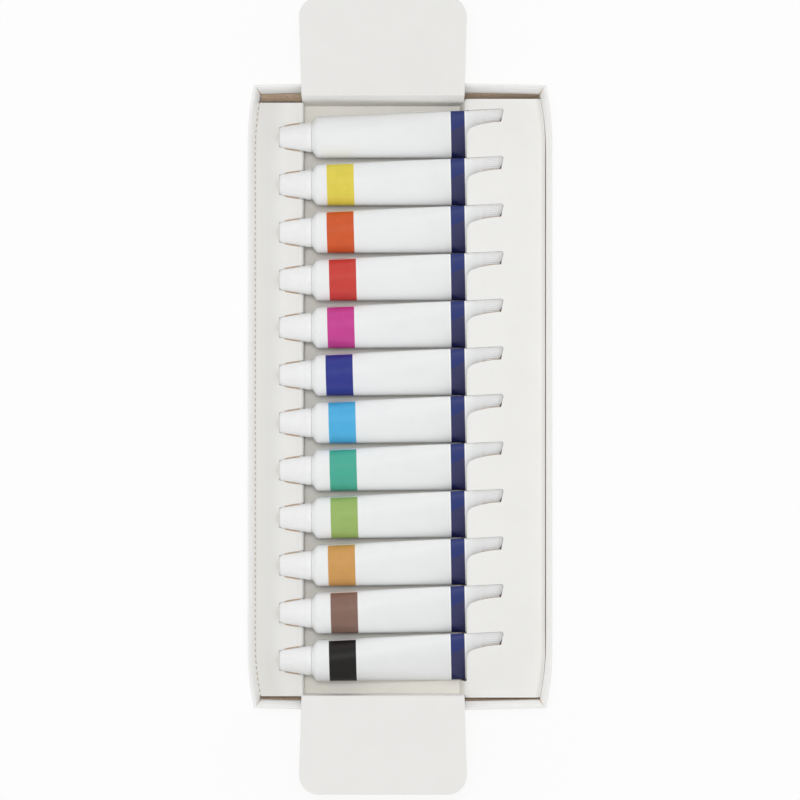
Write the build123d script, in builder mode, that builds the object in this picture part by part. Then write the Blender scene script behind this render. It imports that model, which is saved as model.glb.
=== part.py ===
"""Twelve paint tubes lying across a folded card insert, held in an open card tray, in millimetres.

X runs along the tubes, with the caps at -X and the crimped tails at +X. Y runs along the tray.
Z is up, and the origin is the middle of the tray's underside.
"""

import os
from math import copysign, cos, radians, sin

from build123d import *

os.makedirs("parts", exist_ok=True)

# Tray
tray_corner_half_width = 55.9
top_tube_gap = 19.2
bottom_tube_gap = 17.5
tray_height = 20.5
tray_floor = 1.0
tray_side_bulge = 2.4
tray_end_bow = 0.8
bulge_run = 22.0
rim_width = 1.0
side_wall_foot = 2.9
end_wall_foot = 3.6

# Card of the insert and its flaps
card = 0.5
fold_radius = 0.9
rest_gap = 0.3

# Tubes
tube_count = 12
tube_radius = 8.0
tube_spacing = 2.335
sleeve_wall = 0.4
shoulder_front = -33.6
sleeve_front = -32.0
flat_start = 31.0
tail_end = 39.5
tail_skew = 3.0
tail_flare = 0.7
tail_top_y = 10.6
tail_top_drop = 1.3
tail_foot_y = -7.7
tail_foot_drop = 6.3
tail_arch = 0.6
crimp_thickness = 1.1
flat_thickness = 0.9
tube_facets = 18
seam_depth = 2.0
seam_width = 1.0
paint_gap = 0.1
paint_end = 26.0
paint_end_thickness = 0.2

# Neck and cap
neck_radius = 3.1
neck_length = 8.0
orifice_radius = 1.2
neck_facets = 12
shoulder_lip_radius = 6.6
shoulder_step = 0.9
plug_radius = 7.0
plug_depth = 1.2
cap_gap = 0.4
cap_wide_radius = 5.7
cap_narrow_radius = 3.75
cap_length = 12.4
cap_ring = 2.0
cap_ring_step = 0.15
cap_rib_count = 18
cap_bore_depth = 9.4

# Insert plan: gaps to the tray's side walls, and from the tray's ends to the card's
left_fold_gap = 0.3
right_fold_gap = 0.65
left_riser_x = -37.4
right_riser_foot_x = 23.3
right_riser_top_x = 25.3
left_end_gap = {"top": 5.9, "bottom": 3.7}
right_end_gap = {"top": 4.4, "bottom": 3.2}
skirt_end_lean = 1.2
panel_foot_gap = {"top": 6.7, "bottom": 4.1}
panel_crease_gap = {"top": 3.9, "bottom": 4.5}
shelf_over_axis = 0.2
panel_below_rim = 0.5

# Openings of the insert, about each tube's axis
cap_hole_gap = 0.2
cap_hole_half = 5.6
cap_hole_belly = (-42.2, 5.05)
slot_half_height = 10.4
slot_climb = 0.7
slot_start_y = 0.65
slot_shelf_y = 6.0
slot_tip_x = 39.3
slot_far_x = 39.9
slot_corner_x = 38.95
slot_sweep = (33.0, 5.4)
slot_bend = (28.3, 4.1)
slot_heel = (26.5, 2.8)
tail_tab_x = 25.7
spare_slit = 0.2
riser_strip = 1.0

# Flaps
flap_length = 37.4
flap_crease_half_width = 31.2
flap_end_half_width = 32.2
flap_centre_x = -6.5
flap_corner = 7.5
flap_rise = 10.0

# Heights and places that follow from the sizes above
tube_pitch = 2 * tube_radius + tube_spacing
tray_half_length = (top_tube_gap + (tube_count - 1) * tube_pitch + bottom_tube_gap) / 2
tube_rows = [tray_half_length - top_tube_gap - tube_pitch * index for index in range(tube_count)]
trough_top = tray_floor + card
axis_z = trough_top + rest_gap + tube_radius
shelf_top = axis_z + shelf_over_axis
shelf_underside = shelf_top - card
panel_top = tray_height - panel_below_rim
crease_z = panel_top + card / 2 + rest_gap


def axis_plane(station):
    """Plane square to a tube's axis, with its origin on the axis of a tube at Y = 0."""
    return Plane(origin=(station, 0, axis_z), x_dir=(0, 1, 0), z_dir=(1, 0, 0))


def save(part, name):
    part.label = name
    export_step(part, f"parts/{name}.step")


# Tray: floor and four doubled walls, their inner panels sloping in towards the floor


def tray_plan(height, side_inset, end_inset):
    """Rectangle whose long sides swell near the corners and whose ends bow slightly."""
    half_width = tray_corner_half_width - side_inset
    half_length = tray_half_length - end_inset
    middle = half_width + tray_side_bulge
    with BuildSketch(Plane.XY.offset(height)) as plan:
        with BuildLine():
            for side in (1, -1):
                corner = (side * half_width, side * half_length)
                swell = (side * middle, side * (half_length - bulge_run))
                low_swell = (side * middle, -side * (half_length - bulge_run))
                low_corner = (side * half_width, -side * half_length)
                TangentArc(swell, corner, tangent=(0, side))
                Line(swell, low_swell)
                TangentArc(low_swell, low_corner, tangent=(0, -side))
                far_corner = (-side * half_width, side * half_length)
                ThreePointArc(corner, (0, side * (half_length + tray_end_bow)), far_corner)
        make_face()
    return plan.sketch


with BuildPart() as tray:
    extrude(tray_plan(0, 0, 0), amount=tray_height)
    loft(
        [
            tray_plan(tray_floor, side_wall_foot, end_wall_foot),
            tray_plan(tray_height, rim_width, rim_width),
        ],
        ruled=True,
        mode=Mode.SUBTRACT,
    )

save(tray.part, "tray")


# Insert: one card folded into two shelves, a trough between them, skirts and two end panels


def wall_inset(foot, height):
    """How far a sloping inner panel stands in from the tray's outside at a height."""
    return rim_width + (foot - rim_width) * (tray_height - height) / (tray_height - tray_floor)


def shelf_plan(height, gap, inner_x, end_gap, shorter=0):
    """Strip of the tray's hollow beside the trough, at a gap from the wall on that side."""
    side = copysign(1, inner_x)
    low = end_gap["bottom"] + shorter - tray_half_length
    high = tray_half_length - end_gap["top"] - shorter
    far_x = 2 * side * tray_corner_half_width
    with BuildSketch() as strip:
        Polygon((inner_x, low), (far_x, low), (far_x, high), (inner_x, high), align=None)
    inset = wall_inset(side_wall_foot, height) + gap
    hollow = tray_plan(0, inset, wall_inset(end_wall_foot, height))
    return Pos(0, 0, height) * (hollow & strip.sketch)


def panel_y(end, height):
    """Inner face of an end panel, which leans outward from the trough floor to its crease."""
    share = (height - tray_floor) / (crease_z - tray_floor)
    gap = panel_foot_gap[end] + share * (panel_crease_gap[end] - panel_foot_gap[end])
    return tray_half_length - gap if end == "top" else gap - tray_half_length


left_shelf_inner = left_riser_x - 2 * fold_radius
right_shelf_inner = right_riser_top_x + 2 * fold_radius
shelf_middle = shelf_top - card / 2
floor_middle = tray_floor + card / 2
cap_wide_x = shoulder_front - cap_gap
cap_end_x = cap_wide_x - cap_length
spare_slit_y = tube_rows[-1] - tube_pitch + slot_half_height

with BuildPart() as shelves:
    for gap, inner_x, end_gap in (
        (left_fold_gap, left_shelf_inner, left_end_gap),
        (right_fold_gap, right_shelf_inner, right_end_gap),
    ):
        extrude(shelf_plan(shelf_top, gap, inner_x, end_gap), amount=-card)
        with BuildPart() as skirt:
            for thickness, mode in ((0, Mode.ADD), (card, Mode.SUBTRACT)):
                loft(
                    [
                        shelf_plan(tray_floor, gap + thickness, inner_x, end_gap, skirt_end_lean),
                        shelf_plan(shelf_top, gap + thickness, inner_x, end_gap),
                    ],
                    ruled=True,
                    mode=mode,
                )

with BuildPart() as trough:
    with BuildSketch(Plane.XZ):
        with BuildLine():
            FilletPolyline(
                (left_shelf_inner - rest_gap, shelf_middle),
                (left_riser_x, shelf_middle),
                (left_riser_x, floor_middle),
                (right_riser_foot_x, floor_middle),
                (right_riser_top_x, shelf_middle),
                (right_shelf_inner + rest_gap, shelf_middle),
                radius=fold_radius,
            )
            offset(amount=card / 2, side=Side.BOTH)
        make_face()
    extrude(amount=tray_half_length, both=True)
    # Its ends run from the panels' feet out to the ends of each shelf
    with BuildPart(mode=Mode.INTERSECT):
        for end_gap, reach in ((left_end_gap, -tray_corner_half_width), (right_end_gap, tray_corner_half_width)):
            with BuildSketch(Plane.YZ):
                Polygon(
                    (panel_y("bottom", tray_floor) - card / 2, tray_floor),
                    (panel_y("top", tray_floor) + card / 2, tray_floor),
                    (tray_half_length - end_gap["top"], shelf_top),
                    (end_gap["bottom"] - tray_half_length, shelf_top),
                    align=None,
                )
            extrude(amount=reach)

with BuildSketch() as tail_slot:
    with BuildLine():
        Polyline(
            (tail_tab_x, slot_start_y),
            (tail_tab_x - card, slot_start_y),
            (tail_tab_x - card, slot_half_height),
            (slot_tip_x, slot_half_height + slot_climb),
            (slot_far_x, slot_half_height),
            (slot_corner_x, slot_shelf_y),
        )
        ThreePointArc((slot_corner_x, slot_shelf_y), slot_sweep, slot_bend)
        ThreePointArc(slot_bend, slot_heel, (tail_tab_x, slot_start_y))
    make_face()

with BuildSketch() as cap_hole:
    with BuildLine():
        for side in (1, -1):
            mouth = (left_riser_x, side * cap_hole_half)
            inner_end = (cap_end_x - cap_hole_gap, side * (cap_narrow_radius + cap_hole_gap))
            ThreePointArc(mouth, (cap_hole_belly[0], side * cap_hole_belly[1]), inner_end)
            Line(mouth, (left_riser_x + 2 * card, side * cap_hole_half))
        for end_x, half in (
            (left_riser_x + 2 * card, cap_hole_half),
            (cap_end_x - cap_hole_gap, cap_narrow_radius + cap_hole_gap),
        ):
            Line((end_x, half), (end_x, -half))
    make_face()

with BuildPart() as insert:
    add(shelves.part)
    add(trough.part)
    for end, outward in (("top", card), ("bottom", -card)):
        with BuildSketch(Plane.YZ.offset(flap_centre_x - flap_crease_half_width)):
            Polygon(
                (panel_y(end, tray_floor), tray_floor),
                (panel_y(end, panel_top), panel_top),
                (panel_y(end, panel_top) + outward, panel_top),
                (panel_y(end, tray_floor) + outward, tray_floor),
                align=None,
            )
        extrude(amount=2 * flap_crease_half_width)
    # Cap holes in the left shelf, with a notch down the riser below each
    with BuildSketch(Plane.XY.offset(shelf_underside - card)):
        with Locations(*[(0, row) for row in tube_rows]):
            add(cap_hole.sketch)
    extrude(amount=3 * card, mode=Mode.SUBTRACT)
    with BuildSketch(Plane.YZ.offset(left_riser_x)):
        with Locations(*[(row, axis_z) for row in tube_rows]):
            RegularPolygon(radius=cap_hole_half, side_count=neck_facets, major_radius=False)
    extrude(amount=2 * card, both=True, mode=Mode.SUBTRACT)
    # Tail slots in the right shelf, and the straight slit of a spare one beyond the last tube
    with BuildSketch(Plane.XY.offset(shelf_underside - card)):
        with Locations(*[(0, row) for row in tube_rows]):
            add(tail_slot.sketch)
        Polygon(
            (tail_tab_x - card, spare_slit_y),
            (slot_tip_x, spare_slit_y + slot_climb),
            (slot_tip_x, spare_slit_y + slot_climb - spare_slit),
            (tail_tab_x - card, spare_slit_y - spare_slit),
            align=None,
        )
    extrude(amount=3 * card, mode=Mode.SUBTRACT)
    # The riser is cut away where the tubes pass under the tabs
    with BuildSketch(Plane.XY.offset(trough_top + riser_strip)):
        Polygon(
            (right_riser_foot_x - 2 * card, spare_slit_y - spare_slit),
            (tail_tab_x, spare_slit_y - spare_slit),
            (tail_tab_x, tube_rows[0] + slot_half_height),
            (right_riser_foot_x - 2 * card, tube_rows[0] + slot_half_height),
            align=None,
        )
    extrude(amount=tube_radius, mode=Mode.SUBTRACT)

save(insert.part, "insert")


# Flaps: each turns about its crease at the top of an end panel, and rests open on the rim


def flap(end, outward):
    """Flap leaning out over the rim, with a rounded root that turns on the crease line."""
    rise = radians(flap_rise)
    crease = Plane(
        origin=(flap_centre_x, panel_y(end, crease_z), crease_z),
        x_dir=(outward, 0, 0),
        z_dir=(0, -outward * sin(rise), cos(rise)),
    )
    with BuildPart() as leaf:
        with BuildSketch(crease.offset(-card / 2)) as outline:
            Polygon(
                (-flap_crease_half_width, 0),
                (flap_crease_half_width, 0),
                (flap_end_half_width, flap_length),
                (-flap_end_half_width, flap_length),
                align=None,
            )
            fillet(outline.vertices().group_by(Axis.Y)[-1], radius=flap_corner)
        extrude(amount=card)
        with Locations(crease):
            Cylinder(radius=card / 2, height=2 * flap_crease_half_width, rotation=(0, 90, 0))
    return leaf.part


save(flap("top", 1), "flap_top")
save(flap("bottom", -1), "flap_bottom")


# Tube: every piece is drawn once, on the axis at Y = 0, and repeated along the tray


def ring(station, radius, corners):
    """Evenly spaced points on a circle about the axis of a tube at Y = 0."""
    angles = [radians(360 * (step + 0.5) / corners) for step in range(corners)]
    return [(station, radius * cos(angle), axis_z + radius * sin(angle)) for angle in angles]


def tail_points(station, thickness, inset=0, flare=0, skew=0):
    """Points round the flattened tail: along its arched top and its flat underside.

    A flare draws the top edge outward, and a skew draws the foot back along the tube.
    """
    top = Vector(tail_top_y, -tail_top_drop)
    foot = Vector(tail_foot_y, -tail_foot_drop)
    along = (foot - top).normalized()
    square = Vector(along.Y, -along.X)
    top = top + along * (inset - flare)
    foot = foot - along * inset
    lift = square * (thickness / 2)
    crown = (top + foot) * 0.5 + square * tail_arch + lift
    upper = ThreePointArc(top + lift, crown, foot + lift)
    section = [(share, upper @ share) for share in (0, 0.25, 0.5, 0.75, 1)]
    section += [(0, top - lift), (1, foot - lift)]
    return [(station - skew * share, point.X, axis_z + point.Y) for share, point in section]


with BuildPart() as sleeve:
    ConvexPolyhedron(
        ring(sleeve_front, tube_radius, tube_facets) + tail_points(flat_start, flat_thickness)
    )
    ConvexPolyhedron(
        tail_points(flat_start, crimp_thickness)
        + tail_points(tail_end, crimp_thickness, flare=tail_flare, skew=tail_skew)
    )
    ConvexPolyhedron(
        ring(sleeve_front - sleeve_wall, tube_radius - sleeve_wall, tube_facets)
        + tail_points(flat_start - seam_depth, flat_thickness - 2 * sleeve_wall, seam_width),
        mode=Mode.SUBTRACT,
    )

with BuildPart() as shoulder:
    ConvexPolyhedron(
        ring(sleeve_front, tube_radius, tube_facets)
        + ring(sleeve_front - shoulder_step, tube_radius - shoulder_step / 2, tube_facets)
        + ring(shoulder_front, shoulder_lip_radius, tube_facets)
    )
    ConvexPolyhedron(
        ring(shoulder_front, neck_radius, neck_facets)
        + ring(shoulder_front - neck_length, neck_radius, neck_facets)
    )
    ConvexPolyhedron(
        ring(sleeve_front, plug_radius, tube_facets)
        + ring(sleeve_front + plug_depth, plug_radius, tube_facets)
    )
    ConvexPolyhedron(
        ring(sleeve_front + plug_depth, orifice_radius, neck_facets)
        + ring(shoulder_front - neck_length, orifice_radius, neck_facets),
        mode=Mode.SUBTRACT,
    )

with BuildPart() as cap:
    ConvexPolyhedron(
        ring(cap_wide_x, cap_wide_radius, tube_facets)
        + ring(cap_wide_x - cap_ring, cap_wide_radius, tube_facets)
    )
    ConvexPolyhedron(
        ring(cap_wide_x - cap_ring, cap_wide_radius - cap_ring_step, cap_rib_count)
        + ring(cap_end_x, cap_narrow_radius, cap_rib_count)
    )
    with BuildSketch(axis_plane(cap_wide_x)):
        Circle(neck_radius + rest_gap)
    extrude(amount=-cap_bore_depth, mode=Mode.SUBTRACT)

with BuildPart() as paint:
    ConvexPolyhedron(
        ring(sleeve_front, tube_radius - sleeve_wall - paint_gap, tube_facets)
        + tail_points(paint_end, paint_end_thickness, 2 * seam_width)
    )
    split(bisect_by=Plane.YZ.offset(sleeve_front + plug_depth + paint_gap), keep=Keep.TOP)

pieces = {"sleeve": sleeve, "shoulder": shoulder, "cap": cap, "paint": paint}

for index, row in enumerate(tube_rows, start=1):
    for name, piece in pieces.items():
        save(Pos(0, row, 0) * piece.part, f"tube_{index:02d}_{name}")
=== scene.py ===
import math

import bmesh
import bpy
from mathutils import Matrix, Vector


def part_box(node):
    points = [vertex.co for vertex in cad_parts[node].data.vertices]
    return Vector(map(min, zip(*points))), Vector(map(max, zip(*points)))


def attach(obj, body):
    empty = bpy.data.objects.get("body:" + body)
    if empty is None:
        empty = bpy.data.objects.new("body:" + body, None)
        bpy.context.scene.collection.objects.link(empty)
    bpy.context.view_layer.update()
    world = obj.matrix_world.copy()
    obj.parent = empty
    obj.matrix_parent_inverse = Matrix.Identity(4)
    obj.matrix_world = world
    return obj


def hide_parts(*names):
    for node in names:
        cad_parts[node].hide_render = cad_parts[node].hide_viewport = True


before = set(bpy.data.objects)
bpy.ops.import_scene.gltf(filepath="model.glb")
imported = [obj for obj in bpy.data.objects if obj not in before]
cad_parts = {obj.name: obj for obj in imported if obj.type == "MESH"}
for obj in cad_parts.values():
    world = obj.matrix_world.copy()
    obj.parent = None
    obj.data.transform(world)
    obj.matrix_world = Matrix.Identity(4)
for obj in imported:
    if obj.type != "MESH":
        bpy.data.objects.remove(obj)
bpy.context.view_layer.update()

MM = 0.001

# Sizes that the pieces share with the solids, in millimetres
AXIS_HEIGHT = 9.8
PITCH = 18.335
TUBE_RADIUS = 8.0
SLEEVE_FRONT = -32.0
FLAT_START = 31.0
TAIL_END = 39.5
TAIL_TOP = Vector((10.6, -1.3))
TAIL_FOOT = Vector((-7.7, -6.3))
TAIL_FLARE = 0.7
TAIL_SKEW = 3.0
CAP_FRONT = -34.0
CAP_END = -46.4
CAP_RIBS = 36
TRAY_HALF_WIDTH = 55.9
TRAY_HALF_LENGTH = 119.1925
SIDE_BULGE = 2.4
BULGE_RUN = 22.0
BULGE_RADIUS = (BULGE_RUN ** 2 + SIDE_BULGE ** 2) / (2 * SIDE_BULGE)
END_BOW = 0.8
FLAP_RISE = math.radians(10)
CREASE_HEIGHT = 20.55
TOP_CREASE = 115.2925
BOTTOM_CREASE = -114.6925
STRIP_THICKNESS = 0.1

# The camera looks straight down; both distances are in metres, at the height of the tubes' axes
CAMERA_DISTANCE = 1.4
PICTURE_WIDTH = 0.3084
SENSOR_WIDTH = 36

# Colours of the card, from the palest
TRAY_INSIDE_PAINTED_LIGHT = (0.955, 0.952, 0.940)
PANEL_PAINTED_LIGHT = (0.93, 0.925, 0.90)
TROUGH_PAINTED_LIGHT = (0.92, 0.900, 0.845)
TRAY_OUTSIDE = (0.88, 0.877, 0.867)
WHITE_CARD = (0.855, 0.850, 0.830)
TRAY_RIM = (0.850, 0.847, 0.838)
PRESSED_EDGE = (0.82, 0.815, 0.79)
FLAP_PAINTED_SHADE = (0.800, 0.794, 0.776)
SHADED_CARD = (0.715, 0.710, 0.677)
BOARD_LIGHT = (0.46, 0.35, 0.255)
BOARD_DARK = (0.37, 0.275, 0.195)
BOARD_FLECK = (0.25, 0.175, 0.115)

# Colours of the tubes and caps, each white with the slightly darker one that clouds it
ENAMEL = ((0.855, 0.863, 0.865), (0.838, 0.847, 0.851))
CAP_PLASTIC = ((0.893, 0.897, 0.897), (0.871, 0.875, 0.875))
STRIPE_MARGIN = (0.930, 0.935, 0.937)
NAVY_BRIGHT = (0.026, 0.040, 0.170)
NAVY_DULL = (0.042, 0.044, 0.120)
NAVY_PAINTED_SHADE = (0.014, 0.018, 0.080)
PALE_FLOOR = (0.88, 0.88, 0.88)

BAND_WIDTH = 10.4

# Paint colours, and where each printed band starts on its tube
PAINTS = [
    ("titanium_white", (0.86, 0.87, 0.88), None),
    ("lemon_yellow", (0.76, 0.64, 0.085), -28.1),
    ("warm_orange", (0.64, 0.105, 0.027), -28.1),
    ("scarlet", (0.60, 0.055, 0.045), -27.2),
    ("magenta", (0.58, 0.055, 0.29), -27.9),
    ("ultramarine", (0.030, 0.040, 0.26), -28.5),
    ("sky_blue", (0.08, 0.44, 0.76), -27.4),
    ("emerald", (0.07, 0.42, 0.31), -27.0),
    ("leaf_green", (0.33, 0.48, 0.14), -26.6),
    ("ochre", (0.63, 0.33, 0.10), -27.6),
    ("burnt_umber", (0.24, 0.14, 0.11), -26.6),
    ("lamp_black", (0.012, 0.011, 0.010), -27.2),
]


def middle(node):
    low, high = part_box(node)
    return (low + high) / (2 * MM)


ROWS = [middle(f"tube_{number:02d}_cap").y for number in range(1, 13)]


class Finish:
    """A material while it is being mixed. Each call adds one node or two and gives back the output."""

    def __init__(self, name):
        self.material = bpy.data.materials.new(name)
        self.material.use_nodes = True
        self.tree = self.material.node_tree
        self.surface = self.tree.nodes["Principled BSDF"]
        self.place = self.tree.nodes.new("ShaderNodeTexCoord").outputs["Object"]
        split = self.tree.nodes.new("ShaderNodeSeparateXYZ")
        self.tree.links.new(self.place, split.inputs[0])
        self.x, self.y, self.z = split.outputs

    def feed(self, socket, value):
        if isinstance(value, bpy.types.NodeSocket):
            self.tree.links.new(value, socket)
        elif isinstance(value, tuple) and len(value) == 3 and socket.type == "RGBA":
            socket.default_value = (*value, 1)
        else:
            socket.default_value = value

    def math(self, operation, first, second=0.0):
        node = self.tree.nodes.new("ShaderNodeMath")
        node.operation = operation
        self.feed(node.inputs[0], first)
        self.feed(node.inputs[1], second)
        return node.outputs[0]

    def add(self, first, second):
        return self.math("ADD", first, second)

    def less(self, first, second):
        return self.math("SUBTRACT", first, second)

    def both(self, first, second):
        return self.math("MULTIPLY", first, second)

    def either(self, first, second):
        return self.math("MAXIMUM", first, second)

    def size(self, value):
        return self.math("ABSOLUTE", value)

    def step(self, value, low, high):
        """Rises smoothly from 0 to 1 as value goes from low to high."""
        node = self.tree.nodes.new("ShaderNodeMapRange")
        node.interpolation_type = "SMOOTHSTEP"
        self.feed(node.inputs["Value"], value)
        node.inputs["From Min"].default_value = low
        node.inputs["From Max"].default_value = high
        return node.outputs[0]

    def fall(self, value, low, high):
        """Falls smoothly from 1 to 0 as value goes from low to high."""
        return self.less(1.0, self.step(value, low, high))

    def between(self, value, low, high, painted_shade):
        """1 from low to high, with soft edges."""
        return self.both(
            self.step(value, low - painted_shade, low + painted_shade),
            self.fall(value, high - painted_shade, high + painted_shade),
        )

    def dot(self, first, second):
        node = self.tree.nodes.new("ShaderNodeVectorMath")
        node.operation = "DOT_PRODUCT"
        self.feed(node.inputs[0], first)
        self.feed(node.inputs[1], second)
        return node.outputs["Value"]

    def grain(self, scale, detail=2.0, stretch=None):
        """Cloudy noise that lies still on the piece."""
        node = self.tree.nodes.new("ShaderNodeTexNoise")
        node.inputs["Scale"].default_value = scale
        node.inputs["Detail"].default_value = detail
        if stretch:
            mapping = self.tree.nodes.new("ShaderNodeMapping")
            mapping.inputs["Scale"].default_value = stretch
            self.tree.links.new(self.place, mapping.inputs["Vector"])
            self.tree.links.new(mapping.outputs[0], node.inputs["Vector"])
        else:
            self.tree.links.new(self.place, node.inputs["Vector"])
        return node.outputs["Fac"]

    def mix(self, share, first, second):
        node = self.tree.nodes.new("ShaderNodeMix")
        node.data_type = "RGBA"
        self.feed(node.inputs[0], share)
        self.feed(node.inputs[6], first)
        self.feed(node.inputs[7], second)
        return node.outputs[2]

    def bump(self, height, distance, strength=1.0):
        """Adds relief on top of what earlier bumps have made."""
        node = self.tree.nodes.new("ShaderNodeBump")
        node.inputs["Strength"].default_value = strength
        node.inputs["Distance"].default_value = distance
        self.feed(node.inputs["Height"], height)
        normal = self.surface.inputs["Normal"]
        if normal.is_linked:
            self.tree.links.new(normal.links[0].from_socket, node.inputs["Normal"])
        self.tree.links.new(node.outputs[0], normal)

    def set(self, **values):
        for name, value in values.items():
            self.feed(self.surface.inputs[name.replace("_", " ")], value)
        return self.material


def toned(colour, share):
    return tuple(share * part for part in colour)


def raw_board(finish, pale=1.0):
    """Colour of uncoated brown board with darker flecks and pale fibres."""
    flecks = finish.step(finish.grain(1900, 3), 0.60, 0.72)
    fibres = finish.step(finish.grain(700, 4, (1, 3.5, 1)), 0.35, 0.7)
    plain = finish.mix(fibres, toned(BOARD_DARK, pale), toned(BOARD_LIGHT, pale))
    return finish.mix(finish.both(flecks, 0.5), plain, toned(BOARD_FLECK, pale))


def coated_white(finish, tone):
    """Colour of the white coated side of the card, with faint mottling."""
    cloud = finish.step(finish.grain(75, 3), 0.3, 0.75)
    speck = finish.step(finish.grain(2600, 2), 0.35, 0.75)
    return finish.mix(finish.both(cloud, speck), tone, toned(tone, 0.955))


def card_tooth(finish):
    """Fine tooth of the card and its slow waves, as bumps."""
    finish.bump(finish.grain(5200, 3), 0.00004, 0.35)
    finish.bump(finish.grain(34, 2), 0.0006, 0.22)


def card_surface(finish, colour, roughness=0.52):
    """Half-matt surface of coated card."""
    return finish.set(Base_Color=colour, Roughness=roughness, Specular_IOR_Level=0.35)


def bowed(finish, middle_x):
    """How far a point lies outside a line that runs beside a long wall and bends in with it near the ends."""
    reach = finish.either(finish.less(finish.size(finish.y), 0.0948), 0.0)
    bend = finish.both(finish.both(reach, reach), 4.9)
    return finish.less(finish.add(finish.size(finish.x), bend), middle_x)


def insert_finish():
    """White card whose underside and cut edges are raw board, with a perforated fold on the left."""
    finish = Finish("insert_card")
    board = raw_board(finish)
    right = finish.step(finish.x, 0.0277, 0.0279)
    left = finish.fall(finish.x, -0.0394, -0.0392)
    deep = finish.fall(finish.z, 0.00989, 0.00993)
    raw = finish.both(finish.either(left, right), deep)
    # The fold line on the left is cut in short dashes
    off_fold = finish.size(bowed(finish, 0.05578))
    on_fold = finish.fall(off_fold, 0.00013, 0.00023)
    cuts = finish.step(finish.math("PINGPONG", finish.y, 0.0011), 0.00036, 0.00052)
    dashes = finish.both(finish.both(on_fold, cuts), left)
    card_tooth(finish)
    finish.bump(finish.both(left, finish.step(off_fold, 0.0, 0.0007)), 0.00025, 0.5)
    # The card swells a little round the end of each cap, as a bump, and is painted darker there as painted shade
    from_row = finish.math("PINGPONG", finish.less(finish.y, ROWS[0] * MM), PITCH * MM / 2)
    beyond = finish.both(finish.add(finish.x, -CAP_END * MM), 1 / 0.0032)
    beside = finish.both(from_row, 1 / 0.0046)
    away = finish.math("SQRT", finish.add(finish.both(beyond, beyond), finish.both(beside, beside)))
    swell = finish.fall(away, 0.1, 1.0)
    finish.bump(swell, 0.0006, 0.6)
    # Painted shade where it rounds off as it folds down beside the right wall and at the tabs over the tails
    fold_shade = finish.both(right, finish.step(bowed(finish, 0.0539), 0.0, 0.0017))
    tabs = finish.between(finish.x, 0.0257, 0.0264, 0.0007)
    fold_shade = finish.either(fold_shade, finish.both(tabs, 0.5))
    # Painted shade on the left shelf, which droops towards its fold
    droop_shade = finish.both(finish.both(left, finish.step(bowed(finish, 0.0440), 0.0, 0.0075)), 0.65)
    # Painted shade: the swell, the rounded folds and the droop darken the white card towards SHADED_CARD
    painted_shade = finish.either(finish.either(finish.both(swell, 0.85), droop_shade), fold_shade)
    shelf = finish.mix(painted_shade, coated_white(finish, WHITE_CARD), SHADED_CARD)
    # Painted light: the end panels above the shelves are painted paler than the shelf card
    top = finish.mix(finish.step(finish.z, 0.0102, 0.0106), shelf, PANEL_PAINTED_LIGHT)
    # Painted light: the trough low down is painted paler and warmer than the shelf, standing in for bounced light
    card = finish.mix(finish.step(finish.z, 0.0085, 0.0099), TROUGH_PAINTED_LIGHT, top)
    return card_surface(finish, finish.mix(finish.either(raw, finish.both(dashes, 0.85)), card, board))


def flap_finish(name, outward):
    """White above and raw board below: the side is told by the height over the flap's own plane."""
    finish = Finish(name)
    lean, lift = -outward * math.sin(FLAP_RISE), math.cos(FLAP_RISE)
    crease = TOP_CREASE if outward > 0 else BOTTOM_CREASE
    level = (lean * crease + lift * CREASE_HEIGHT) * MM
    over = finish.add(finish.both(finish.y, lean), finish.both(finish.z, lift))
    top = finish.step(finish.less(over, level), 0.00012, 0.00017)
    # Painted shade: the flap's white side is painted darker than the shelf card, for the tilted flap
    colour = finish.mix(top, raw_board(finish), coated_white(finish, FLAP_PAINTED_SHADE))
    card_tooth(finish)
    return card_surface(finish, colour)


def board_finish(name, pale):
    """Raw board, uncoated."""
    finish = Finish(name)
    colour = raw_board(finish, pale)
    finish.bump(finish.grain(2400, 4), 0.00006, 0.5)
    return finish.set(Base_Color=colour, Roughness=0.85, Specular_IOR_Level=0.2)


def plain_card_finish():
    finish = Finish("plain_white_card")
    card_tooth(finish)
    return card_surface(finish, coated_white(finish, WHITE_CARD))


def edge_strip_and_shade_finish():
    """Edge of the cap holes: raw board in the wide middle, white where it lies against the cap."""
    finish = Finish("cut_edge_and_shade_line")
    beside_cap = finish.between(finish.x, -0.0444, -0.0385, 0.0003)
    # Below each tail the raw board is partly the card's cut edge and partly painted shade for the shadow line under
    # the slot's edge
    below_tail = finish.step(finish.x, 0, 0.001)
    past_cap = finish.both(finish.fall(finish.x, -0.04655, -0.0463), 0.5)
    raw = finish.either(finish.either(beside_cap, below_tail), past_cap)
    colour = finish.mix(raw, PRESSED_EDGE, raw_board(finish, 1.35))
    return finish.set(Base_Color=colour, Roughness=0.8, Specular_IOR_Level=0.2)


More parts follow.
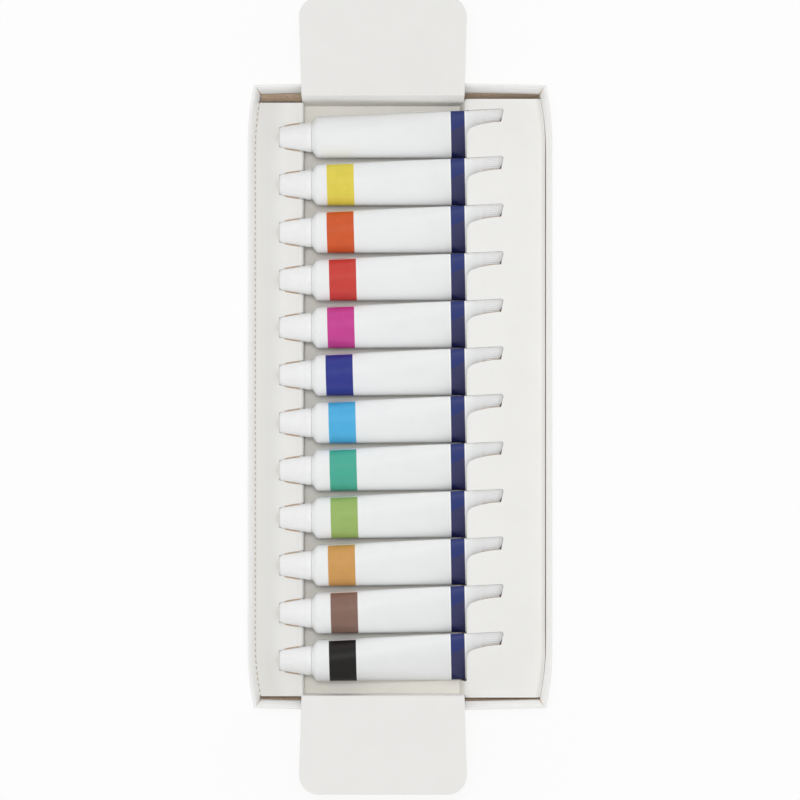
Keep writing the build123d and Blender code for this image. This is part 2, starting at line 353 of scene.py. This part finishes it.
def tray_card_finish():
    """White card of the tray: a mitre seam opens down each corner, and the ends are raw board low down."""
    finish = Finish("tray_card")
    normal = finish.tree.nodes.new("ShaderNodeNewGeometry").outputs["Normal"]
    # Painted light: the faces turned inwards are painted paler than the outside faces of the same card
    inner = finish.fall(finish.dot(normal, finish.place), -0.02, -0.008)
    white = finish.mix(inner, coated_white(finish, TRAY_OUTSIDE), coated_white(finish, TRAY_INSIDE_PAINTED_LIGHT))
    white = finish.mix(finish.step(finish.z, 0.0190, 0.0203), white, TRAY_RIM)
    # Where the sloping panels meet, from 0 at the rim to 1 at the floor
    depth = finish.math("DIVIDE", finish.less(0.02015, finish.z), 0.01915)
    off_x = finish.add(finish.less(finish.size(finish.x), 0.05488), finish.both(depth, 0.00203))
    off_y = finish.add(finish.less(finish.size(finish.y), 0.11816), finish.both(depth, 0.00272))
    off = finish.either(finish.size(off_x), finish.size(off_y))
    seam = finish.fall(finish.less(off, finish.both(depth, 0.0004)), 0.00002, 0.00016)
    low = finish.fall(finish.z, 0.0062, 0.0078)
    inside = finish.fall(finish.size(finish.x), 0.0532, 0.0538)
    ends = finish.both(
        finish.both(low, inside),
        finish.between(finish.size(finish.y), 0.1150, 0.1179, 0.0002),
    )
    raw = finish.either(finish.both(seam, 0.8), ends)
    card_tooth(finish)
    return card_surface(finish, finish.mix(raw, white, raw_board(finish, 1.45)), 0.5)


def tube_finish(name, row, paint, band_start):
    """White enamel on thin metal, printed with a colour band at the front and a navy stripe at the tail."""
    finish = Finish(name)
    colour = finish.mix(finish.step(finish.grain(120, 2), 0.3, 0.8), *ENAMEL)
    side = finish.less(finish.y, row * MM)
    lean = finish.add(finish.x, finish.both(side, 0.024))
    if band_start is not None:
        # The colour band is open where its ends meet, on the side towards the first tube
        around = finish.tree.nodes.new("ShaderNodeAttribute")
        around.attribute_name = "around"
        covered = finish.fall(finish.dot(around.outputs["Vector"], (1.0, 0.03, 0.0)), 0.942, 0.949)
        band = finish.between(lean, band_start * MM, (band_start + BAND_WIDTH) * MM, 0.00006)
        tint = finish.mix(finish.step(finish.grain(260, 3), 0.3, 0.8), paint, toned(paint, 0.94))
        colour = finish.mix(finish.both(band, covered), colour, tint)
    margin = finish.between(lean, 0.01915, 0.02565, 0.00005)
    colour = finish.mix(finish.both(margin, 0.8), colour, STRIPE_MARGIN)
    stripe = finish.between(lean, 0.0197, 0.0251, 0.00006)
    slant = finish.less(side, finish.both(finish.x, 0.5))
    navy = finish.mix(finish.step(slant, -0.0077, -0.0073), NAVY_DULL, NAVY_BRIGHT)
    # Painted shade: the navy is darkened on the lower side of the tube
    lower = finish.add(side, finish.both(finish.x, 0.45))
    navy = finish.mix(finish.step(lower, 0.0030, 0.0042), NAVY_PAINTED_SHADE, navy)
    colour = finish.mix(stripe, colour, navy)
    # Handling marks on the metal, and fine ribs pressed along the crimped tail
    finish.bump(finish.grain(55, 2), 0.0009, 0.25)
    finish.bump(finish.grain(330, 2), 0.00006, 0.35)
    ribbed = finish.between(finish.x, 0.0339, 0.0384, 0.0002)
    finish.bump(finish.both(finish.math("PINGPONG", finish.y, 0.000385), ribbed), 0.35, 0.6)
    return finish.set(
        Base_Color=colour,
        Roughness=finish.add(0.32, finish.both(finish.grain(420, 2), 0.12)),
        Specular_IOR_Level=0.26,
        Coat_Weight=0.06,
        Coat_Roughness=0.25,
    )


def cap_finish():
    """Hard white plastic, a little cloudy."""
    finish = Finish("white_cap_plastic")
    colour = finish.mix(finish.step(finish.grain(300, 2), 0.3, 0.8), *CAP_PLASTIC)
    finish.bump(finish.grain(3800, 2), 0.00003, 0.3)
    return finish.set(
        Base_Color=colour,
        Roughness=0.42,
        Specular_IOR_Level=0.35,
        Subsurface_Weight=0.05,
        Subsurface_Radius=(0.001, 0.001, 0.001),
        Subsurface_Scale=0.5,
    )


def paint_finish(name, paint):
    """Wet gum-bound paint: glossy, with streaks where the pigment is thicker."""
    finish = Finish(name)
    streaks = finish.step(finish.grain(210, 4, (0.3, 1, 1)), 0.3, 0.75)
    finish.bump(finish.grain(480, 3), 0.0001, 0.3)
    return finish.set(
        Base_Color=finish.mix(streaks, paint, toned(paint, 0.7)),
        Roughness=0.22,
        Specular_IOR_Level=0.55,
        Coat_Weight=0.4,
        Coat_Roughness=0.1,
    )


def piece_from(bm, name, body, materials, angle=35):
    """Turns a mesh under construction into a piece that rides on a body."""
    mesh = bpy.data.meshes.new(name)
    bm.to_mesh(mesh)
    bm.free()
    piece = bpy.data.objects.new(name, mesh)
    bpy.context.scene.collection.objects.link(piece)
    for material in materials:
        mesh.materials.append(material)
    mesh.shade_smooth()
    mesh.set_sharp_from_angle(angle=math.radians(angle))
    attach(piece, body)
    return piece


def shell(segments, stations, place):
    """Closed tube with one ring of points per station, each point put where place says."""
    bm = bmesh.new()
    last = len(stations) - 1
    bmesh.ops.create_cone(bm, cap_ends=True, segments=segments, radius1=1, radius2=1, depth=last)
    lengthwise = [edge for edge in bm.edges if abs(edge.verts[0].co.z - edge.verts[1].co.z) > 0.5]
    bmesh.ops.subdivide_edges(bm, edges=lengthwise, cuts=last - 1)
    around = bm.verts.layers.float_vector.new("around")
    for vert in bm.verts:
        turn = math.atan2(vert.co.y, vert.co.x)
        vert[around] = (math.cos(turn), math.sin(turn), 0)
        vert.co = place(stations[round(vert.co.z + last / 2)], turn)
    bmesh.ops.remove_doubles(bm, verts=bm.verts, dist=0.000001)
    bmesh.ops.recalc_face_normals(bm, faces=bm.faces)
    return bm


def squircle(turn, half_width, half_height, power):
    """Point on an oval that gets boxier as power rises from 2."""
    across, up = math.cos(turn), math.sin(turn)
    return Vector((
        math.copysign(half_width * abs(across) ** (2 / power), across),
        math.copysign(half_height * abs(up) ** (2 / power), up),
    ))


def ease(share):
    """Rises smoothly from 0 to 1 as share does."""
    share = min(1.0, max(0.0, share))
    return share * share * (3 - 2 * share)


def tube_stations():
    """Neck, rounded shoulder, body flattening to its tail, and the folded crimp, front to back."""
    neck = [(-41.6, 0.6), (-41.6, 2.8), (-41.4, 3.05)]
    for thread in range(4):
        start = -40.6 + 1.6 * thread
        neck += [(start, 2.75), (start + 0.5, 3.1), (start + 0.9, 3.1)]
    shoulder = [
        (-33.96, 3.1), (-33.96, 5.4), (-33.82, 5.55), (-33.6, 5.75), (-33.1, 6.42),
        (-32.6, 7.14), (-32.2, 7.58), (-31.8, 7.84), (-31.3, 7.96), (-30.9, TUBE_RADIUS),
    ]
    shares = (0.03, 0.08, 0.15, 0.25, 0.35, 0.45, 0.55, 0.65, 0.74, 0.82, 0.89, 0.91, 0.925, 0.94, 0.96, 0.98)
    tail = [
        (FLAT_START, 0.45), (31.25, 0.54), (31.5, 0.55), (32.3, 0.55), (32.6, 0.47), (33.6, 0.45),
        (33.9, 0.5), (38.6, 0.5), (39.0, 0.47), (39.3, 0.44), (TAIL_END, 0.25),
    ]
    return (
        [("round", x, radius) for x, radius in neck + shoulder]
        + [("flat", share, 0.45) for share in shares]
        + [("tail", x, half) for x, half in tail]
    )


def tube_point(station, turn, row):
    """Point of a tube: on a circle in front, on a thin slanting oval at the tail, and in between on the way."""
    kind, along, size = station
    if kind == "round":
        return Vector((along, row + size * math.cos(turn), AXIS_HEIGHT + size * math.sin(turn))) * MM
    share = along if kind == "flat" else 1.0
    x = SLEEVE_FRONT + share * (FLAT_START - SLEEVE_FRONT) if kind == "flat" else along
    beyond = max(0.0, (x - FLAT_START) / (TAIL_END - FLAT_START))
    slope = (TAIL_TOP - TAIL_FOOT).normalized()
    top = TAIL_TOP + slope * TAIL_FLARE * beyond
    width = (top - TAIL_FOOT).length
    square = Vector((-slope.y, slope.x))
    oval = squircle(turn, width / 2, size, 2 + 3 * share)
    tail = (top + TAIL_FOOT) / 2 + slope * oval.x + square * oval.y
    tail += square * 0.6 * (1 - (2 * oval.x / width) ** 2)
    # The upper edge runs on a little under the edge of the card
    tail += slope * 0.5 * ease((x - 25.9) / 1.6) * ease((oval.x / width - 0.2) / 0.3)
    disc = Vector((TUBE_RADIUS * math.cos(turn), TUBE_RADIUS * math.sin(turn)))
    point = disc.lerp(tail, share)
    x -= TAIL_SKEW * beyond * (0.5 - oval.x / width)
    x += beyond * (0.95 * ease((point.x - 6.3) / 2.2) - 0.2 * ease((point.x - 3.0) / 2.0))
    return Vector((x, row + point.x, AXIS_HEIGHT + point.y)) * MM


def cap_stations():
    """Place, radius and depth of rib, from the cap's bore round its mouth to its dished end."""
    bore_and_mouth = [(-43.4, 0.02, 0), (-43.4, 3.4, 0), (-34.2, 3.4, 0), (CAP_FRONT, 3.6, 0), (CAP_FRONT, 5.55, 0)]
    plain_ring = [
        (-34.03, 5.64, 0), (-34.1, 5.69, 0), (-34.35, 5.7, 0), (-35.7, 5.7, 0),
        (-35.88, 5.67, 0), (-36.0, 5.6, 0), (-36.05, 5.5, 0),
    ]
    ribbed_skirt = [
        (-36.2, 5.5, 0.08), (-39.4, 4.97, 0.12), (-42.6, 4.43, 0.12), (-45.5, 3.93, 0.12),
        (-45.8, 3.86, 0.1), (-46.1, 3.72, 0.04),
    ]
    dished_end = [(-46.3, 3.5, 0), (CAP_END, 3.2, 0), (CAP_END, 2.7, 0), (-46.25, 2.45, 0), (-46.2, 0.02, 0)]
    return bore_and_mouth + plain_ring + ribbed_skirt + dished_end


def cap_point(station, turn, row):
    x, radius, depth = station
    rib = 0.5 - 0.5 * math.cos(CAP_RIBS * turn)
    radius -= depth * min(1.0, 1.6 * rib)
    return Vector((x, row + radius * math.cos(turn), AXIS_HEIGHT + radius * math.sin(turn))) * MM


def curve_through(x, points):
    """Height at x of the parabola through three points."""
    (x1, y1), (x2, y2), (x3, y3) = points
    return (
        y1 * (x - x2) * (x - x3) / ((x1 - x2) * (x1 - x3))
        + y2 * (x - x1) * (x - x3) / ((x2 - x1) * (x2 - x3))
        + y3 * (x - x1) * (x - x2) / ((x3 - x1) * (x3 - x2))
    )


def ribbon(bm, place, steps=14):
    """Narrow strip whose points are put where place says, from how far along and how far across."""
    for vert in bmesh.ops.create_grid(bm, x_segments=steps, y_segments=1, size=0.5)["verts"]:
        vert.co = Vector(place(vert.co.x + 0.5, vert.co.y + 0.5)) * MM


def edge_strips(bm):
    """Crushed edges of the card: round each cap hole, bent down to the cap, and below each tail, where the
    raw-board strip is partly the card's cut edge and partly painted shade for the shadow line under the slot's
    edge.
    """
    for row in ROWS:
        for side in (1, -1):
            def beside_cap(along, across):
                x = -37.5 - 9.1 * along
                outer = curve_through(x, ((-37.4, 5.62), (-42.2, 5.07), (-46.6, 3.97)))
                inner = 5.57 + 0.1688 * (36.2 + x)
                return x, row + side * (outer + (inner - outer) * across), 9.98 - 0.16 * across

            ribbon(bm, beside_cap)

        def past_cap(along, across):
            return -46.62 + 0.16 * across, row + 7.7 * (along - 0.5), 9.98 - 0.16 * across

        def below_tail(along, across):
            x = 31.5 + 7.4 * along
            lower = curve_through(x, ((38.95, 6.0), (33.0, 5.4), (28.3, 4.1)))
            return x, row + lower + 0.2 * across, 9.6 - 0.1 * across

        ribbon(bm, past_cap)
        ribbon(bm, below_tail)


def board_strips(bm):
    """Upturned foot of the end linings, seen between each shelf and the end wall."""
    feet = ((-1, 1, 113.59, 9.0), (1, 1, 114.99, 8.5), (-1, -1, 115.49, 9.6), (1, -1, 115.99, 9.6))
    for side, end, shelf_end, top in feet:
        inner, outer = (38.0, 53.7) if side < 0 else (25.1, 53.7)

        def foot(along, across):
            x = side * (inner + (outer - inner) * along)
            wall = 116.5 + END_BOW * (1 - (x / 53.9) ** 2)
            return x, end * (wall + (shelf_end + 0.3 - wall) * across), top - 1.6 * across

        ribbon(bm, foot)


def fold_strips(bm):
    """The shelves' long outer folds, which swell towards the side walls, and the lip of the spare slit."""
    folds = ((-1, -115.3, 113.1, 55.98, 0.24), (1, -115.8, 114.6, 55.63, 0.22))
    for side, low, high, edge, swell in folds:
        def fold(along, across):
            y = low + (high - low) * along
            reach = max(0.0, abs(y) - 94.79)
            bend = BULGE_RADIUS - math.sqrt(BULGE_RADIUS * BULGE_RADIUS - reach * reach)
            more = 0.22 * ease((abs(y) - 88) / 20) if side > 0 else 0
            return side * (edge - bend + (swell + more) * across), y, 9.99 - 0.2 * across

        ribbon(bm, fold, 80)

    def slit_lip(along, across):
        return 25.4 + 13.8 * along, slit + 0.7 * along + 0.24 * (across - 0.5), 9.93

    slit = ROWS[-1] - PITCH + 10.3
    ribbon(bm, slit_lip)


def make_strips(name, draw, material):
    """Thin strips of card that face up, drawn together and made into one piece."""
    bm = bmesh.new()
    draw(bm)
    bmesh.ops.recalc_face_normals(bm, faces=bm.faces)
    for face in bm.faces:
        if face.normal.z < 0:
            face.normal_flip()
    bmesh.ops.solidify(bm, geom=bm.faces, thickness=-STRIP_THICKNESS * MM)
    piece_from(bm, name, "base", [material])


def tray_outline(side_inset, end_inset, height):
    """Ring of points round the tray: sides that swell between the corners and ends that bow."""
    bm = bmesh.new()
    half_width, half_length = TRAY_HALF_WIDTH - side_inset, TRAY_HALF_LENGTH - end_inset
    signs = ((1, 1), (-1, 1), (-1, -1), (1, -1))
    corners = [bm.verts.new((sx * half_width, sy * half_length, height)) for sx, sy in signs]
    edges = [bm.edges.new((corners[k], corners[(k + 1) % 4])) for k in range(4)]
    bmesh.ops.subdivide_edges(bm, edges=[edges[0], edges[2]], cuts=23)
    sides = [edge for edge in bm.edges if abs(edge.verts[0].co.y - edge.verts[1].co.y) > 100]
    bmesh.ops.subdivide_edges(bm, edges=sides, cuts=71)
    for vert in bm.verts:
        x, y = vert.co.x, vert.co.y
        if abs(abs(x) - half_width) < 0.001:
            reach = max(0.0, abs(y) - (half_length - BULGE_RUN))
            swell = SIDE_BULGE - (BULGE_RADIUS - math.sqrt(BULGE_RADIUS * BULGE_RADIUS - reach * reach))
            vert.co.x += math.copysign(swell, x)
        if abs(abs(y) - half_length) < 0.001:
            vert.co.y += math.copysign(END_BOW * (1 - (x / half_width) ** 2), y)
        vert.co *= MM
    return bm


def make_tray(card, board):
    """Doubled card walls with a rounded rim, round a floor of raw board."""
    # Inset at the sides, inset at the ends and height, up the outside, over the rim and down the inside
    levels = (
        (0.25, 0.25, 0.0), (0.0, 0.0, 0.25), (0.0, 0.0, 20.15), (0.08, 0.08, 20.35),
        (0.28, 0.28, 20.47), (0.5, 0.5, 20.5), (0.72, 0.72, 20.47), (0.92, 0.92, 20.35),
        (1.02, 1.03, 20.15), (1.38, 1.52, 16.6), (2.86, 3.54, 1.4), (3.05, 3.75, 1.0),
    )
    bm = bmesh.new()
    rings = []
    for side_inset, end_inset, height in levels:
        ring = tray_outline(side_inset, end_inset, height)
        level = bpy.data.meshes.new("level")
        ring.to_mesh(level)
        ring.free()
        older = set(bm.edges)
        bm.from_mesh(level)
        bpy.data.meshes.remove(level)
        rings.append([edge for edge in bm.edges if edge not in older])
    for lower, upper in zip(rings, rings[1:]):
        bmesh.ops.bridge_loops(bm, edges=lower + upper)
    for ring in (rings[0], rings[-1]):
        bmesh.ops.contextual_create(bm, geom=ring)
    bmesh.ops.recalc_face_normals(bm, faces=bm.faces)
    for face in bm.faces:
        heights = [vert.co.z for vert in face.verts]
        face.material_index = 1 if max(heights) < 0.0015 and min(heights) > 0.0009 else 0
    tray = piece_from(bm, "card_tray", "base", [card, board], 28)
    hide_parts("tray")


def give(node, material):
    """Puts a material on a piece of the frame."""
    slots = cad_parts[node].data.materials
    slots.clear()
    slots.append(material)


def light_sky(world):
    """White light from all round, brighter low down, so that upright walls are lit too."""
    world.use_nodes = True
    tree = world.node_tree
    sky = tree.nodes["Background"]
    sky.inputs["Color"].default_value = (1, 1, 1, 1)
    direction = tree.nodes.new("ShaderNodeTexCoord")
    split = tree.nodes.new("ShaderNodeSeparateXYZ")
    level = tree.nodes.new("ShaderNodeMapRange")
    level.inputs["To Min"].default_value = 1.385
    level.inputs["To Max"].default_value = 0.357
    tree.links.new(direction.outputs["Generated"], split.inputs[0])
    tree.links.new(split.outputs[2], level.inputs["Value"])
    tree.links.new(level.outputs[0], sky.inputs["Strength"])


def hang_soft_box(scene):
    """Wide lamp above and behind the tray."""
    lamp = bpy.data.lights.new("soft_box", "AREA")
    lamp.shape = "RECTANGLE"
    lamp.size, lamp.size_y = 0.45, 0.35
    lamp.energy = 6.7
    stand = bpy.data.objects.new("soft_box", lamp)
    stand.location = (-0.05, 0.16, 1.5)
    stand.rotation_euler = (-stand.location).to_track_quat("-Z", "Y").to_euler()
    scene.collection.objects.link(stand)


def floor_finish():
    """Pale paper that takes the object's shadow and looks nearly white to the camera."""
    sheet = Finish("pale_floor")
    sheet.set(Base_Color=PALE_FLOOR, Roughness=0.9)
    path = sheet.tree.nodes.new("ShaderNodeLightPath")
    glow = sheet.tree.nodes.new("ShaderNodeEmission")
    seen = sheet.either(path.outputs["Is Camera Ray"], path.outputs["Is Glossy Ray"])
    blend = sheet.tree.nodes.new("ShaderNodeMixShader")
    sheet.feed(blend.inputs[0], sheet.both(seen, 0.88))
    sheet.feed(blend.inputs[1], sheet.surface.outputs[0])
    sheet.feed(blend.inputs[2], glow.outputs[0])
    sheet.feed(sheet.tree.nodes["Material Output"].inputs[0], blend.outputs[0])
    return sheet.material


def lay_floor(scene):
    bm = bmesh.new()
    bmesh.ops.create_grid(bm, x_segments=1, y_segments=1, size=2.5)
    mesh = bpy.data.meshes.new("floor")
    bm.to_mesh(mesh)
    bm.free()
    mesh.materials.append(floor_finish())
    floor = bpy.data.objects.new("floor", mesh)
    scene.collection.objects.link(floor)


def set_camera(scene):
    camera = bpy.data.cameras.new("camera")
    camera.sensor_width = SENSOR_WIDTH
    camera.lens = SENSOR_WIDTH * CAMERA_DISTANCE / PICTURE_WIDTH
    eye = bpy.data.objects.new("camera", camera)
    eye.location = (0, -0.0013, CAMERA_DISTANCE + AXIS_HEIGHT * MM)
    scene.collection.objects.link(eye)
    scene.camera = eye


def make_studio():
    scene = bpy.context.scene
    scene.view_settings.view_transform = "Standard"
    scene.world = bpy.data.worlds.new("studio")
    light_sky(scene.world)
    hang_soft_box(scene)
    lay_floor(scene)
    set_camera(scene)


def make_tube(number, row, colour_name, paint, band_start, cap_plastic):
    """One tube with its printed body, its cap and the paint inside."""
    tube = f"tube_{number:02d}"
    printed = tube_finish(f"enamel_{colour_name}", row, paint, band_start)
    drawn = shell(72, tube_stations(), lambda station, turn: tube_point(station, turn, row))
    body = piece_from(drawn, f"{tube}_drawn_body", tube, [printed], 40)
    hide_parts(f"{tube}_sleeve", f"{tube}_shoulder")
    turned = shell(144, cap_stations(), lambda station, turn: cap_point(station, turn, row))
    cap = piece_from(turned, f"{tube}_ribbed_cap", f"{tube}_cap", [cap_plastic], 50)
    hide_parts(f"{tube}_cap")
    give(f"{tube}_paint", paint_finish(f"paint_{colour_name}", paint))


make_studio()
make_tray(tray_card_finish(), board_finish("tray_raw_board", 1.45))
make_strips("cut_card_edges_and_shade_lines", edge_strips, edge_strip_and_shade_finish())
make_strips("lining_feet", board_strips, board_finish("lining_raw_board", 1.25))
make_strips("shelf_folds", fold_strips, plain_card_finish())
give("insert", insert_finish())
give("flap_top", flap_finish("top_flap_card", 1))
give("flap_bottom", flap_finish("bottom_flap_card", -1))

cap_plastic = cap_finish()
for number, (row, (colour_name, paint, band_start)) in enumerate(zip(ROWS, PAINTS), start=1):
    make_tube(number, row, colour_name, paint, band_start, cap_plastic)
